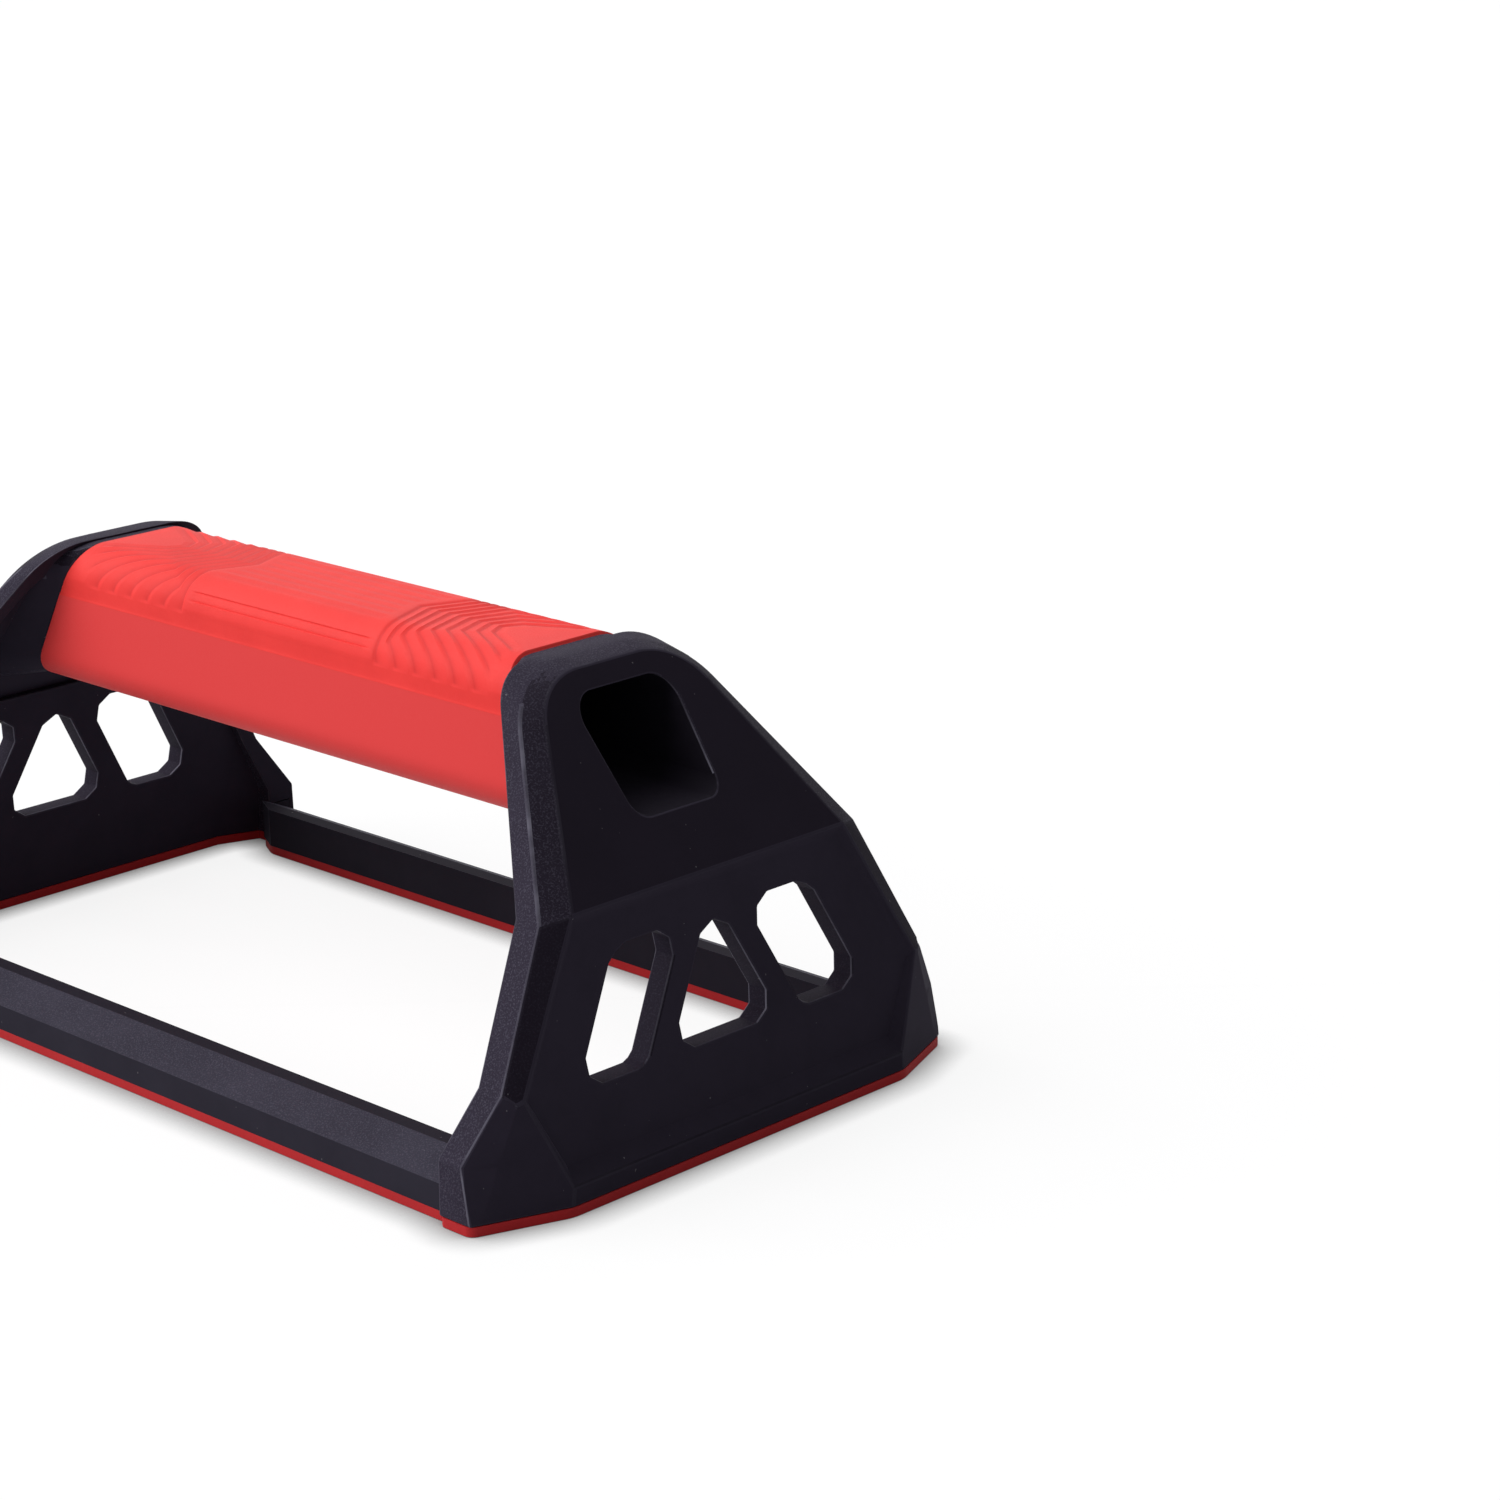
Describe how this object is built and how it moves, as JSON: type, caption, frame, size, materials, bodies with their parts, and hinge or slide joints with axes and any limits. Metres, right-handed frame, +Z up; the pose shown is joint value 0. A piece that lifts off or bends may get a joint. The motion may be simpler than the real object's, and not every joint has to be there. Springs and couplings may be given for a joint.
{
  "type": "parallette bar",
  "caption": "Low parallette bar: hollow soft-sleeved grip keyed between leaning pierced end frames, tied by base rails with tongue joints and screws, standing on soft soles.",
  "frame": {"origin": "on the floor under the middle of the grip", "axes": "+X along the grip, +Y across the bar, +Z up"},
  "size_m": [0.25, 0.1406, 0.1],
  "materials": {
    "frame_plastic": "satin moulded black, fine grain on rim and bevels",
    "rail_plastic": "fine grained moulded black",
    "core_plastic": "plain moulded black",
    "grip_rubber": "soft matte red, moulded grooves on the top",
    "sole_rubber": "soft matte dark red",
    "screw_steel": "plain zinc"
  },
  "bodies": {
    "root": {"left_end_frame": "frame_plastic", "right_end_frame": "frame_plastic", "left_end_sole": "sole_rubber", "right_end_sole": "sole_rubber", "front_base_rail": "rail_plastic", "rear_base_rail": "rail_plastic", "front_rail_sole": "sole_rubber", "rear_rail_sole": "sole_rubber", "grip_core": "core_plastic", "grip_sleeve": "grip_rubber", "rail_screws": "screw_steel"}
  },
  "joints": []
}
